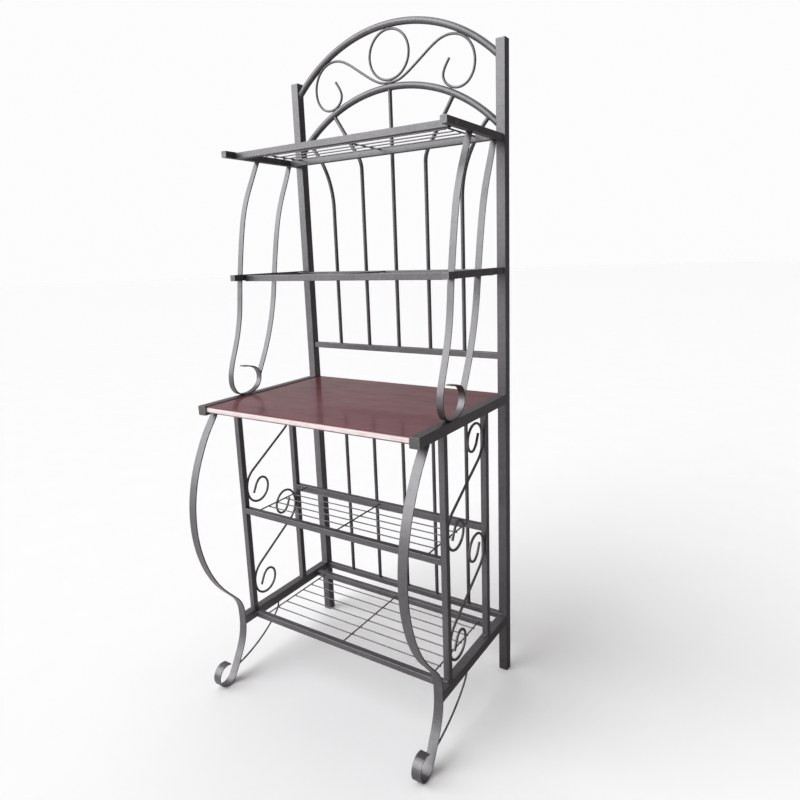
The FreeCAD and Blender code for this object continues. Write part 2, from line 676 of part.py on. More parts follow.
# ---------------------------------------------------------------------------
# front legs, lower side rails, inner posts, braces
# ---------------------------------------------------------------------------
LEG = [(-366, 726.3), (-379, 707), (-395, 686), (-409, 662), (-422, 636), (-434, 609), (-444.5, 580), (-453, 548), (-459, 514),
       (-461.8, 478), (-461.5, 441), (-457, 404), (-448.5, 367), (-435.5, 330), (-418, 295), (-397, 264), (-371.5, 236),
       (-350, 211), (-341, 187), (-339.5, 160), (-339.5, 137), (-342.5, 111), (-351, 84), (-364, 58), (-378, 32),
       (-393.5, 7.5), (-415, -1.08), (-435, 11), (-441.5, 33), (-431.5, 53.5), (-413.5, 60.5), (-401, 56)]
for side, sg in SIDES:
    body = new_body("front_leg_" + side)
    flat_bar(body, "%s * %s" % (sg, POST_X), "Dims.leg_width", D["leg_thick"], LEG,
             start=("v", D["table_top"] - D["post_size"]))
    node("front_leg_" + side, body)

for side, sg in SIDES:
    square_tube("lower_side_rail_" + side, "Y",
                ("%s * %s" % (sg, POST_X), "Dims.low_rail_top - Dims.post_size / 2", "0"),
                "Dims.low_rail_front", "Dims.post_size", "Dims.post_wall", "Dims.corner_radius")

for where, y in (("front", "Dims.inner_front_y"), ("rear", "Dims.inner_rear_y")):
    for side, sg in SIDES:
        square_tube("%s_inner_post_%s" % (where, side), "Z",
                    ("%s * %s" % (sg, POST_X), "-" + y, "Dims.low_rail_top"),
                    "Dims.table_top - Dims.post_size - Dims.low_rail_top", "Dims.cross_rail", "Dims.cross_wall", "Dims.small_corner",
                    holes=[("YZ_Plane", ("-" + y, "Dims.low_shelf_z - Dims.cross_rail / 2", "%s * (%s + 30)" % (sg, POST_X)), "Dims.screw_hole / 2")])

braces = []
BRACE = [(-207, 137), (-207, 121), (-217.5, 105.5), (-235, 90), (-259, 73), (-287, 57.5), (-317, 45), (-347, 36), (-377.5, 30.5)]
for side, sg in SIDES:
    b, segs = bent_wire("leg_brace_" + side, "YZ_Plane", ("0", "0", "%s * %s" % (sg, POST_X)), BRACE, "Dims.brace_wire / 2")
    leg = [o for n, o in NODES if n == "front_leg_" + side][0]
    braces.append(cut("leg_brace_" + side, b, [leg]))
group("leg_braces", braces)

# ---------------------------------------------------------------------------
# side scrolls between the inner posts: an S, the same above and below
# ---------------------------------------------------------------------------
HALF_S = [(-71, -45), (-83, -61), (-88.3, -80), (-86, -103.5), (-75, -122), (-55, -131.5), (-33, -128),
          (-16, -111.5), (-12, -89.5), (-21, -72.5), (-38.5, -67), (-53, -77.5), (-60.5, -93), (-66, -104)]
SCROLL_REACH = 0.9984     # widens the S until it touches the posts in front and behind
S_CURVE = [(-y * SCROLL_REACH, -z) for y, z in HALF_S[::-1]] + [(y * SCROLL_REACH, z) for y, z in HALF_S]
for side, sg in SIDES:
    parts = []
    for where, mid in (("upper", 582.6), ("lower", 316.2)):
        name = "side_scroll_%s_%s" % (where, side)
        b, segs = bent_wire(name, "YZ_Plane", ("0", "0", "%s * %s" % (sg, POST_X)),
                            [(y - (D["inner_front_y"] + D["inner_rear_y"]) / 2, z + mid) for y, z in S_CURVE],
                            "Dims.scroll_wire / 2")
        parts.append(b)
    group("side_scrolls_" + side, parts)

# ---------------------------------------------------------------------------
# shelf under the work top and bottom shelf
# ---------------------------------------------------------------------------
INNER_IN = "(%s - Dims.cross_rail / 2)" % POST_X


def cross_bar(name, y, ztop, half):
    return square_tube(name, "X", ("-" + y, "%s - Dims.cross_rail / 2" % ztop, "-" + half), "2 * " + half,
                       "Dims.cross_rail", "Dims.cross_wall", "Dims.small_corner")


def wire_grid(name, y_front, y_rear, ztop, first, pitch, count):
    """Cross wires butt on both rails; long wires are welded under them."""
    out = []
    gap = "(%s - %s - Dims.cross_rail)" % (y_front, y_rear)
    zc = "%s - Dims.wire_drop - Dims.cross_wire / 2" % ztop
    zl = "%s - Dims.wire_drop - Dims.cross_wire - Dims.long_wire / 2 - 0.02" % ztop
    half = "(Dims.cross_wire_x + Dims.cross_wire / 2)"
    for i, x in enumerate(("-Dims.cross_wire_x", "0", "Dims.cross_wire_x")):
        out.append(cylinder("%s_cross%d" % (name, i), "Dims.cross_wire / 2", gap, x, "-%s + Dims.cross_rail / 2" % y_front, zc, ALONG_Y))
    for i in range(count):
        out.append(cylinder("%s_long%d" % (name, i), "Dims.long_wire / 2", "2 * " + half, "-" + half,
                            "-%s + %s * %d" % (first, pitch, i), zl, ALONG_X))
    return group(name, out)


cross_bar("lower_shelf_front_rail", "Dims.inner_front_y", "Dims.low_shelf_z", INNER_IN)
cross_bar("lower_shelf_rear_rail", "Dims.inner_rear_y", "Dims.low_shelf_z", INNER_IN)
wire_grid("lower_shelf_wires", "Dims.inner_front_y", "Dims.inner_rear_y", "Dims.low_shelf_z", "Dims.low_wire_first", "Dims.low_wire_pitch", 5)
cross_bar("bottom_shelf_front_rail", "Dims.inner_front_y", "Dims.base_shelf_z", HALF_IN)
cross_bar("bottom_shelf_rear_rail", "Dims.base_rear_y", "Dims.base_shelf_z", HALF_IN)
wire_grid("bottom_shelf_wires", "Dims.inner_front_y", "Dims.base_rear_y", "Dims.base_shelf_z", "Dims.base_wire_first", "Dims.base_wire_pitch", 6)

# ---------------------------------------------------------------------------
# upper and middle shelf
# ---------------------------------------------------------------------------
SHELF_IN = "(Dims.shelf_width / 2 - Dims.shelf_rail)"
RAIL_TOP = {}
for key, front in (("top", "Dims.top_shelf_front"), ("mid", "Dims.mid_shelf_front")):
    ztop = "Dims.%s_shelf_z" % key
    zmid = "(%s - Dims.shelf_rail / 2)" % ztop
    zrail = "(%s - Dims.rail_drop - Dims.cross_rail / 2)" % ztop
    word = {"top": "top_shelf", "mid": "middle_shelf"}[key]
    for side, sg in SIDES:
        square_tube("%s_side_rail_%s" % (word, side), "Y",
                    ("%s * %s" % (sg, SHELF_X), zmid, "Dims.plate_thick"),
                    front + " - Dims.cap_flange - Dims.plate_thick", "Dims.shelf_rail", "Dims.shelf_wall", "Dims.small_corner",
                    holes=[("YZ_Plane", ("-" + y, zrail, "%s * (%s + 30)" % (sg, SHELF_X)), "Dims.screw_hole / 2")
                           for y in ("Dims.shelf_front_rail", "Dims.shelf_rear_rail")])
    rtop = "(%s - Dims.rail_drop)" % ztop
    cross_bar(word + "_front_rail", "Dims.shelf_front_rail", rtop, SHELF_IN)
    cross_bar(word + "_rear_rail", "Dims.shelf_rear_rail", rtop, SHELF_IN)
    wire_grid(word + "_wires", "Dims.shelf_front_rail", "Dims.shelf_rear_rail", rtop, "Dims.upper_wire_first", "Dims.upper_wire_pitch", 5)

caps, plates, screws = [], [], []
for key, front in (("top", "Dims.top_shelf_front"), ("mid", "Dims.mid_shelf_front")):
    ztop = "Dims.%s_shelf_z" % key
    zmid = "(%s - Dims.shelf_rail / 2)" % ztop
    for side, sg in SIDES:
        t = key + "_" + side
        caps.append(front_cap("shelf_cap_" + t, "%s * %s" % (sg, SHELF_X), front, zmid, "Dims.shelf_rail", "Dims.shelf_wall",
                              "Dims.cap_flange", "small_corner"))
        plates.append(box("mount_plate_" + t, "Dims.post_size", "Dims.plate_thick", "Dims.shelf_rail",
                          "%s * %s - Dims.post_size / 2" % (sg, POST_X), "-Dims.plate_thick", "%s - Dims.shelf_rail" % ztop))
        zrail = "(%s - Dims.rail_drop - Dims.cross_rail / 2)" % ztop
        for n, y in (("f", "Dims.shelf_front_rail"), ("r", "Dims.shelf_rear_rail")):
            rot = ALONG_NX if sg == "1" else ALONG_X
            x0 = "%s * Dims.shelf_width / 2" % sg
            hd = cylinder("rail_screw_head_%s_%s" % (t, n), "Dims.screw_head / 2", "Dims.screw_head_high",
                          "%s * (Dims.shelf_width / 2 + Dims.screw_head_high)" % sg, "-" + y, zrail, rot)
            sh = cylinder("rail_screw_shank_%s_%s" % (t, n), "Dims.screw_shank / 2", "Dims.shelf_rail + 9", x0, "-" + y, zrail, rot)
            screws.append(fuse("rail_screw_%s_%s" % (t, n), [hd, sh]))
group("shelf_rail_caps", caps)
group("shelf_mount_plates", plates)
for side, sg in SIDES:
    for n, y in (("f", "Dims.inner_front_y"), ("r", "Dims.inner_rear_y")):
        rot = ALONG_NX if sg == "1" else ALONG_X
        zc = "Dims.low_shelf_z - Dims.cross_rail / 2"
        hd = cylinder("post_screw_head_%s_%s" % (side, n), "Dims.screw_head / 2", "Dims.screw_head_high",
                      "%s * (%s + Dims.cross_rail / 2 + Dims.screw_head_high)" % (sg, POST_X), "-" + y, zc, rot)
        sh = cylinder("post_screw_shank_%s_%s" % (side, n), "Dims.screw_shank / 2", "Dims.cross_rail + 9",
                      "%s * (%s + Dims.cross_rail / 2)" % (sg, POST_X), "-" + y, zc, rot)
        screws.append(fuse("post_screw_%s_%s" % (side, n), [hd, sh]))
group("rail_screws", screws)

# ---------------------------------------------------------------------------
# curved shelf brackets: front and rear flat bars on each side
# ---------------------------------------------------------------------------
TOP_UNDER = D["top_shelf_z"] - D["shelf_rail"]
MID_TOP = D["mid_shelf_z"]
MID_UNDER = D["mid_shelf_z"] - D["shelf_rail"]
TABLE = D["table_top"]
FRONT_UP = [(-158, TOP_UNDER), (-181, 1288), (-203, 1244), (-218.5, 1202), (-228.5, 1158), (-237, 1112), (-246, MID_TOP)]
FRONT_LOW = [(-248.5, MID_UNDER), (-252.5, 1004), (-257.5, 960), (-267, 917), (-281, 875), (-296, 838), (-305, 806),
             (-304.5, 778), (-293, 758.5), (-273, TABLE + 1.55), (-246, TABLE + 1.55), (-222, 760.5), (-209.5, 779), (-209.5, 799), (-221, 813.5),
             (-241, 820.5), (-266, 824)]
REAR_UP = [(-40, TOP_UNDER), (-58, 1290), (-77, 1250), (-93, 1208), (-105, 1162), (-115, 1112), (-125, MID_TOP)]
REAR_LOW = [(-127.5, MID_UNDER), (-133, 1001), (-141, 964), (-152, 924), (-167, 882), (-184, 843), (-199, 814), (-208.8, 794.5)]
for side, sg in SIDES:
    x = "%s * %s" % (sg, SHELF_X)
    made = {}
    for tag, pts, st, en in (("front_up", FRONT_UP, ("v", TOP_UNDER), ("v", MID_TOP)),
                             ("front_low", FRONT_LOW, ("v", MID_UNDER), None),
                             ("rear_up", REAR_UP, ("v", TOP_UNDER), ("v", MID_TOP)),
                             ("rear_low", REAR_LOW, ("v", MID_UNDER), None)):
        body = new_body("bracket_%s_%s" % (tag, side))
        flat_bar(body, x, "Dims.bracket_width", D["bracket_thick"], pts, start=st, end=en)
        made[tag] = body
    rear = cut("bracket_rear_low_fit_" + side, made["rear_low"], [made["front_low"]])
    group("front_bracket_" + side, [made["front_up"], made["front_low"]])
    group("rear_bracket_" + side, [made["rear_up"], rear])

# ---------------------------------------------------------------------------
# check and write
# ---------------------------------------------------------------------------
doc.recompute()
bad = [o.Name for o in doc.Objects if "Invalid" in o.State or "Error" in o.State]
if bad:
    raise RuntimeError("failed objects: %s" % bad)
names = [n for n, o in NODES]
if len(set(names)) != len(names) or len(names) > 60:
    raise RuntimeError("node names: %d" % len(names))
for name, obj in NODES:
    shape = obj.Shape
    if shape.isNull() or not shape.isValid() or not shape.Solids:
        raise RuntimeError("bad shape: " + name)
os.makedirs("parts", exist_ok=True)
total = 0.0
lo = [1e9] * 3
hi = [-1e9] * 3
for name, obj in NODES:
    shape = obj.Shape
    if len(shape.Solids) == 1:
        out = shape.Solids[0]
    else:
        out = Part.makeCompound(shape.Solids)
    out.exportStep("parts/" + name + ".step")
    bb = out.BoundBox
    for k, (a, b) in enumerate(((bb.XMin, bb.XMax), (bb.YMin, bb.YMax), (bb.ZMin, bb.ZMax))):
        lo[k] = min(lo[k], a)
        hi[k] = max(hi[k], b)
    total += out.Volume
    print("%-28s solids %2d  volume %9.0f" % (name, len(shape.Solids), out.Volume))
print("nodes", len(NODES), "box", [round(v, 2) for v in lo], [round(v, 2) for v in hi], "volume", round(total))
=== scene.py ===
import math

import bmesh
import bpy
from mathutils import Matrix, Vector, noise


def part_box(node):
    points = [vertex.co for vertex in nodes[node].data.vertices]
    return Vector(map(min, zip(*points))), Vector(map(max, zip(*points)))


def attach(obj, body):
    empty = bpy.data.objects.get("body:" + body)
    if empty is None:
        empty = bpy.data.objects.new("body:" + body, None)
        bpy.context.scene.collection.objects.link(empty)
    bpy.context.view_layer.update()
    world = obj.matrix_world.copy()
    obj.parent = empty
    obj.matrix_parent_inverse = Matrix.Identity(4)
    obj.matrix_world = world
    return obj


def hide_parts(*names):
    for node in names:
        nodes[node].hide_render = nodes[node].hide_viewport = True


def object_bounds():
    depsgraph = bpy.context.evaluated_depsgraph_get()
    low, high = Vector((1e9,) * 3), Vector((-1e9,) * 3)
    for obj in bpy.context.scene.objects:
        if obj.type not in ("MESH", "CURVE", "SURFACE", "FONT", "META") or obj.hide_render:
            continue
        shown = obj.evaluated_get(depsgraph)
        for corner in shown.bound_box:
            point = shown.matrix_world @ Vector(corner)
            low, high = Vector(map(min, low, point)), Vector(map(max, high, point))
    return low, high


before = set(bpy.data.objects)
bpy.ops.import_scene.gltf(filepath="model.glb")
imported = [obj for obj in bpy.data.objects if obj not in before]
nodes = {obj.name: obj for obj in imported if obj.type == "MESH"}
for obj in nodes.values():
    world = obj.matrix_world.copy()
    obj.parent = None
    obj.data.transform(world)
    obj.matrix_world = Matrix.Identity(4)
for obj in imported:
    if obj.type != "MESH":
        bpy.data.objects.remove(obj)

cad_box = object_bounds()
scene = bpy.context.scene


# ---------------------------------------------------------------------------
# node helpers
# ---------------------------------------------------------------------------
class Tree:
    """A short way to build a material's node tree."""

    def __init__(self, name):
        self.mat = bpy.data.materials.new(name)
        self.mat.use_nodes = True
        self.t = self.mat.node_tree
        self.t.nodes.clear()
        self.out = self.t.nodes.new("ShaderNodeOutputMaterial")
        self.bsdf = self.t.nodes.new("ShaderNodeBsdfPrincipled")
        self.t.links.new(self.bsdf.outputs[0], self.out.inputs[0])
        self.coord = self.t.nodes.new("ShaderNodeTexCoord").outputs["Object"]

    def put(self, socket, value):
        if isinstance(value, bpy.types.NodeSocket):
            self.t.links.new(value, socket)
        elif value is not None:
            socket.default_value = value

    def const(self, name, value):
        self.bsdf.inputs[name].default_value = value

    def mapping(self, scale=(1, 1, 1), rot=(0, 0, 0), loc=(0, 0, 0), vec=None):
        n = self.t.nodes.new("ShaderNodeMapping")
        self.put(n.inputs["Vector"], vec or self.coord)
        n.inputs["Scale"].default_value = scale
        n.inputs["Rotation"].default_value = rot
        n.inputs["Location"].default_value = loc
        return n.outputs[0]

    def noise(self, scale, detail=2.0, rough=0.5, vec=None, distortion=0.0, colour=False):
        n = self.t.nodes.new("ShaderNodeTexNoise")
        self.put(n.inputs["Vector"], vec or self.coord)
        n.inputs["Scale"].default_value = scale
        n.inputs["Detail"].default_value = detail
        n.inputs["Roughness"].default_value = rough
        n.inputs["Distortion"].default_value = distortion
        return n.outputs["Color" if colour else "Fac"]

    def voronoi(self, scale, feature="F1", out="Distance", vec=None, randomness=1.0):
        n = self.t.nodes.new("ShaderNodeTexVoronoi")
        n.feature = feature
        self.put(n.inputs["Vector"], vec or self.coord)
        n.inputs["Scale"].default_value = scale
        n.inputs["Randomness"].default_value = randomness
        return n.outputs[out]

    def ramp(self, fac, stops, interpolation="LINEAR"):
        n = self.t.nodes.new("ShaderNodeValToRGB")
        n.color_ramp.interpolation = interpolation
        e = n.color_ramp.elements
        while len(e) < len(stops):
            e.new(0.5)
        for k, (p, c) in enumerate(stops):
            e[k].position = p
            e[k].color = (c, c, c, 1) if isinstance(c, (int, float)) else (*c, 1)
        self.put(n.inputs[0], fac)
        return n.outputs[0]

    def mix(self, fac, a, b, mode="MIX"):
        n = self.t.nodes.new("ShaderNodeMix")
        n.data_type = "RGBA"
        n.blend_type = mode
        self.put(n.inputs[0], fac)
        for socket, value in ((n.inputs[6], a), (n.inputs[7], b)):
            if isinstance(value, tuple) and len(value) == 3:
                value = (*value, 1)
            self.put(socket, value)
        return n.outputs[2]

    def math(self, op, a, b=None, c=None, clamp=False):
        n = self.t.nodes.new("ShaderNodeMath")
        n.operation = op
        n.use_clamp = clamp
        for socket, value in zip(n.inputs, (a, b, c)):
            self.put(socket, value)
        return n.outputs[0]

    def rescale(self, value, lo, hi, frm=0.0, to=1.0):
        n = self.t.nodes.new("ShaderNodeMapRange")
        for k, v in enumerate((value, frm, to, lo, hi)):
            self.put(n.inputs[k], v)
        return n.outputs[0]

    def bump(self, height, strength, distance, normal=None):
        n = self.t.nodes.new("ShaderNodeBump")
        self.put(n.inputs["Height"], height)
        n.inputs["Strength"].default_value = strength
        n.inputs["Distance"].default_value = distance
        if normal is not None:
            self.put(n.inputs["Normal"], normal)
        return n.outputs[0]

    def edge(self, radius):
        """1 near an edge of the shape, 0 on its flats."""
        n = self.t.nodes.new("ShaderNodeBevel")
        n.samples = 4
        n.inputs["Radius"].default_value = radius
        g = self.t.nodes.new("ShaderNodeNewGeometry")
        d = self.t.nodes.new("ShaderNodeVectorMath")
        d.operation = "DOT_PRODUCT"
        self.put(d.inputs[0], n.outputs[0])
        self.put(d.inputs[1], g.outputs["Normal"])
        return self.rescale(d.outputs["Value"], 1.0, 0.0, 0.86, 0.995)

    def colour(self, value):
        self.put(self.bsdf.inputs["Base Color"], value)

    def rough(self, value):
        self.put(self.bsdf.inputs["Roughness"], value)

    def normal(self, value):
        self.put(self.bsdf.inputs["Normal"], value)


# ---------------------------------------------------------------------------
# materials
# ---------------------------------------------------------------------------
def powder_coat(name, dark, mid, light, seed, metallic=0.86, rough=(0.36, 0.46), edge_wear_and_sheen=True):
    """Pewter powder coat: cloudy tone, a fine hammered mottle, sparkle of flake, and thin wear on the edges that also
    paints a highlight along them.
    """
    m = Tree(name)
    moved = m.mapping(loc=(seed * 1.7, seed * 0.9, seed * 2.3))
    cloud = m.noise(7.0, 4.0, 0.55, moved, 0.4)
    mottle = m.noise(95.0, 4.0, 0.6, moved, 0.6)
    grain = m.noise(520.0, 2.0, 0.6, moved)
    flake = m.voronoi(2100.0, "F1", "Color", moved)
    tone = m.ramp(cloud, [(0.3, dark), (0.52, mid), (0.75, light)])
    tone = m.mix(m.rescale(mottle, 0.0, 0.30, 0.40, 0.70), tone, light)
    shade = m.ramp(mottle, [(0.28, 0.88), (0.5, 1.0), (0.74, 1.07)])
    tone = m.mix(1.0, tone, shade, "MULTIPLY")
    specks = m.ramp(grain, [(0.3, 0.91), (0.5, 1.0), (0.72, 1.08)])
    tone = m.mix(0.8, tone, specks, "MULTIPLY")
    sep = m.t.nodes.new("ShaderNodeSeparateColor")
    m.put(sep.inputs[0], flake)
    spark = m.ramp(sep.outputs[0], [(0.9, 0.0), (0.97, 1.0)])
    tone = m.mix(m.math("MULTIPLY", spark, 0.14), tone, (0.60, 0.60, 0.62))
    r = m.rescale(m.mix(0.5, cloud, mottle), rough[0], rough[1], 0.3, 0.7)
    if edge_wear_and_sheen:
        # worn edges plus painted highlight: patchy lightening along the tube edges stands for both rubbed paint and
        # light catching the edges
        rub_and_sheen = m.math("MULTIPLY", m.edge(0.0011), m.ramp(m.noise(38.0, 5.0, 0.65, moved), [(0.44, 0.0), (0.62, 1.0)]))
        tone = m.mix(m.math("MULTIPLY", rub_and_sheen, 0.4), tone, (0.50, 0.50, 0.51))
        r = m.math("SUBTRACT", r, m.math("MULTIPLY", rub_and_sheen, 0.08))
    m.colour(tone)
    m.rough(r)
    m.const("Metallic", metallic)
    m.const("Specular IOR Level", 0.5)
    n = m.bump(mottle, 0.07, 0.0010)
    m.normal(m.bump(grain, 0.08, 0.00030, n))
    return m.mat


def laminate(name):
    """Dark cherry laminate: long grain lines along X under a hard gloss film, with a painted highlight as a paler band
    on the rounded front edge.
    """
    m = Tree(name)
    long = m.mapping(scale=(1.3, 17.0, 17.0), loc=(3.1, 1.2, 0.4))
    finer = m.mapping(scale=(5.0, 190.0, 190.0))
    sway = m.noise(2.2, 3.0, 0.5, m.mapping(scale=(1.0, 3.0, 3.0)), 0.3)
    warp = m.t.nodes.new("ShaderNodeVectorMath")
    warp.operation = "ADD"
    lift = m.t.nodes.new("ShaderNodeCombineXYZ")
    m.put(lift.inputs[1], m.math("MULTIPLY", m.math("SUBTRACT", sway, 0.5), 2.6))
    m.put(warp.inputs[0], long)
    m.put(warp.inputs[1], lift.outputs[0])
    bands = m.noise(1.6, 6.0, 0.62, warp.outputs[0], 0.5)
    pores = m.noise(1.0, 3.0, 0.7, finer)
    tone = m.ramp(bands, [(0.26, (0.108, 0.027, 0.032)), (0.44, (0.148, 0.042, 0.049)),
                          (0.58, (0.170, 0.052, 0.060)), (0.78, (0.202, 0.069, 0.077))])
    tone = m.mix(m.ramp(pores, [(0.36, 0.42), (0.5, 0.0)]), tone, (0.075, 0.020, 0.022))
    cloud = m.noise(5.0, 3.0, 0.5)
    tone = m.mix(0.6, tone, m.ramp(cloud, [(0.3, 0.84), (0.7, 1.16)]), "MULTIPLY")
    # painted highlight: the rounded front edge takes a paler band where the light catches the nose
    lo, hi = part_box("tabletop_board")
    xyz = m.t.nodes.new("ShaderNodeSeparateXYZ")
    m.put(xyz.inputs[0], m.coord)
    front = m.rescale(xyz.outputs[1], 1.0, 0.0, lo.y + 0.0002, lo.y + 0.0016)
    front = m.math("MULTIPLY", front, m.rescale(xyz.outputs[2], 0.0, 1.0, lo.z + 0.0022, lo.z + 0.0048))
    # this noise only varies the strength of the painted highlight band along the edge
    rub_and_sheen = m.rescale(m.noise(30.0, 4.0, 0.6, m.mapping(scale=(1.0, 3.0, 3.0))), 0.82, 1.0, 0.35, 0.6)
    # the painted highlight's pale pinkish colours
    edge = m.mix(m.rescale(pores, 0.0, 0.35, 0.4, 0.7), (0.87, 0.77, 0.76), (0.75, 0.62, 0.60))
    tone = m.mix(m.math("MULTIPLY", front, rub_and_sheen), tone, edge)
    m.colour(tone)
    smear = m.noise(16.0, 4.0, 0.6, m.mapping(scale=(1.0, 1.6, 1.0)))
    m.rough(m.rescale(m.mix(0.35, smear, pores), 0.26, 0.44, 0.3, 0.7))
    m.const("Metallic", 0.0)
    m.const("Coat Weight", 0.48)
    m.const("Specular IOR Level", 0.08)
    m.const("Coat Roughness", 0.13)
    m.const("Coat IOR", 1.5)
    n = m.bump(pores, 0.10, 0.00035)
    m.normal(m.bump(m.noise(26.0, 2.0, 0.5), 0.05, 0.0016, n))
    return m.mat


def plastic(name, dark, light, seed):
    """Moulded grey plastic of the tube caps: fine spark-erosion texture, flow clouding, scuffs and a painted highlight
    along the edges.
    """
    m = Tree(name)
    moved = m.mapping(loc=(seed, seed * 0.6, seed * 1.4))
    cloud = m.noise(60.0, 4.0, 0.55, moved, 0.5)
    texture = m.noise(1300.0, 2.0, 0.5, moved)
    scuff = m.ramp(m.noise(210.0, 4.0, 0.7, m.mapping(scale=(1.0, 0.18, 0.6), rot=(0.2, 0.5, 0.8))), [(0.6, 0.0), (0.72, 1.0)])
    tone = m.ramp(cloud, [(0.3, dark), (0.7, light)])
    tone = m.mix(m.math("MULTIPLY", scuff, 0.35), tone, (0.55, 0.55, 0.53))
    # painted highlight: the caps' edges are lightened where light would catch them
    tone = m.mix(m.math("MULTIPLY", m.edge(0.0014), 0.60), tone, (0.62, 0.62, 0.61))
    m.colour(tone)
    m.rough(m.rescale(m.mix(0.4, texture, scuff), 0.40, 0.56))
    m.const("Metallic", 0.55)
    m.const("Specular IOR Level", 0.6)
    n = m.bump(texture, 0.35, 0.00025)
    m.normal(m.bump(scuff, 0.2, 0.0002, n))
    return m.mat


def zinc(name):
    """Dark blackened screw steel: turned rings are hidden by a mottled plating, bright where a bit has rubbed it."""
    m = Tree(name)
    spots = m.noise(650.0, 4.0, 0.6)
    fine = m.noise(2300.0, 2.0, 0.6)
    tone = m.ramp(spots, [(0.32, (0.100, 0.098, 0.102)), (0.55, (0.220, 0.215, 0.222)), (0.72, (0.45, 0.44, 0.45))])
    tone = m.mix(m.math("MULTIPLY", m.edge(0.0005), 0.45), tone, (0.5, 0.5, 0.5))
    m.colour(tone)
    m.rough(m.rescale(m.mix(0.4, spots, fine), 0.24, 0.46, 0.3, 0.7))
    m.const("Metallic", 0.9)
    m.normal(m.bump(fine, 0.3, 0.00015, m.bump(spots, 0.15, 0.0003)))
    return m.mat


coat = powder_coat("pewter_coat", (0.128, 0.125, 0.129), (0.150, 0.147, 0.151), (0.176, 0.173, 0.177), 0.0)
board = laminate("cherry_laminate")
cap = plastic("cap_plastic", (0.094, 0.092, 0.088), (0.132, 0.130, 0.123), 2.0)
small_cap = plastic("cap_plastic_light", (0.140, 0.138, 0.137), (0.195, 0.192, 0.190), 5.0)
screw = zinc("screw_steel")

PLASTIC = {"post_top_caps": small_cap, "post_foot_plugs": cap, "table_rail_caps": cap, "shelf_rail_caps": small_cap}
SCREWS = {"rail_screws", "board_screws"}


def dress(obj, material):
    if not obj.material_slots:
        obj.data.materials.append(material)
    for s in obj.material_slots:
        s.material = material


for name, obj in nodes.items():
    if name in PLASTIC:
        dress(obj, PLASTIC[name])
    elif name in SCREWS:
        dress(obj, screw)
    elif name == "tabletop_board":
        dress(obj, board)
    else:
        dress(obj, coat)


# ---------------------------------------------------------------------------
# weld beads, spot welds and screws, all placed in millimetres
# ---------------------------------------------------------------------------
class Shape:
    """Collects closed surfaces and turns them into one piece."""

    def __init__(self):
        self.verts, self.faces = [], []

    def add(self, verts, faces):
        n = len(self.verts)
        self.verts.extend(tuple(c * 0.001 for c in v) for v in verts)
        self.faces.extend(tuple(n + i for i in f) for f in faces)

    def piece(self, name, material, slot, sharp=None):
        me = bpy.data.meshes.new(name)
        me.from_pydata(self.verts, [], self.faces)
        me.update()
        for p in me.polygons:
            p.use_smooth = True
        if sharp:
            me.set_sharp_from_angle(angle=math.radians(sharp))
        me.materials.append(material)
        obj = bpy.data.objects.new(name, me)
        scene.collection.objects.link(obj)
        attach(obj, "root")
        return obj


def stations(points, step, closed):
    pts = [Vector(p) for p in points]
    if closed:
        pts.append(pts[0])
    spans = [(b - a).length for a, b in zip(pts, pts[1:])]
    total = sum(spans)
    n = max(4, round(total / step))
    out, k, gone = [], 0, 0.0
    for i in range(n if closed else n + 1):
        d = total * i / n
        while k < len(spans) - 1 and gone + spans[k] < d:
            gone += spans[k]
            k += 1
        out.append(pts[k].lerp(pts[k + 1], min(1.0, (d - gone) / max(spans[k], 1e-9))))
    return out, total


def bead(shape, points, radius, up, closed=False, seed=0.0, step=0.55, sides=8, pitch=1.8):
    """A laid bead along a line: overlapping ripples, a little uneven, with rounded ends.  up is never along it."""
    path, total = stations(points, step, closed)
    n = len(path)
    up = Vector(up).normalized()
    verts, faces = [], []
    for i, p in enumerate(path):
        a = path[(i - 1) % n] if closed or i else p
        b = path[(i + 1) % n] if closed or i < n - 1 else p
        along = (b - a).normalized()
        out = along.cross(up).normalized()
        rise = out.cross(along)
        s = total * i / (n if closed else n - 1)
        r = radius * (0.84 + 0.18 * abs(math.sin(math.pi * s / pitch + seed)))
        r *= 1.0 + 0.16 * noise.noise((s * 0.33, seed * 3.1, 0.7))
        if not closed:
            d = min(1.0, min(s, total - s) / radius)
            r *= math.sqrt(max(0.06, 1.0 - (1.0 - d) ** 2))
        p = p + out * (0.14 * radius * noise.noise((s * 0.4, 5.0, seed)))
        for k in range(sides):
            w = 2 * math.pi * k / sides
            verts.append(p + (out * math.cos(w) + rise * math.sin(w)) * r)
    for i in range(n if closed else n - 1):
        j = (i + 1) % n
        for k in range(sides):
            m = (k + 1) % sides
            faces.append((i * sides + k, i * sides + m, j * sides + m, j * sides + k))
    if not closed:
        faces.append(tuple(range(sides - 1, -1, -1)))
        faces.append(tuple((n - 1) * sides + k for k in range(sides)))
    shape.add(verts, faces)


def ball_mesh(level):
    bm = bmesh.new()
    bmesh.ops.create_icosphere(bm, subdivisions=level, radius=1.0)
    data = [v.co.copy() for v in bm.verts], [tuple(v.index for v in f.verts) for f in bm.faces]
    bm.free()
    return data


BALL = {2: ball_mesh(2), 3: ball_mesh(3)}


def lump(shape, at, size, seed, level=3, tilt=0.0):
    """A fused blob of metal, wider or flatter as size says; tilt turns it about X, in degrees."""
    at, turn = Vector(at), Matrix.Rotation(math.radians(tilt), 3, "X")
    verts = []
    for v in BALL[level][0]:
        k = 1.0 + 0.20 * noise.noise(v * 1.6 + Vector((seed, 2.0, seed * 0.7))) + 0.07 * noise.noise(v * 4.0 + Vector((1.0, seed, 3.0)))
        verts.append(at + turn @ Vector([v[i] * size[i] * k for i in range(3)]))
    shape.add(verts, BALL[level][1])


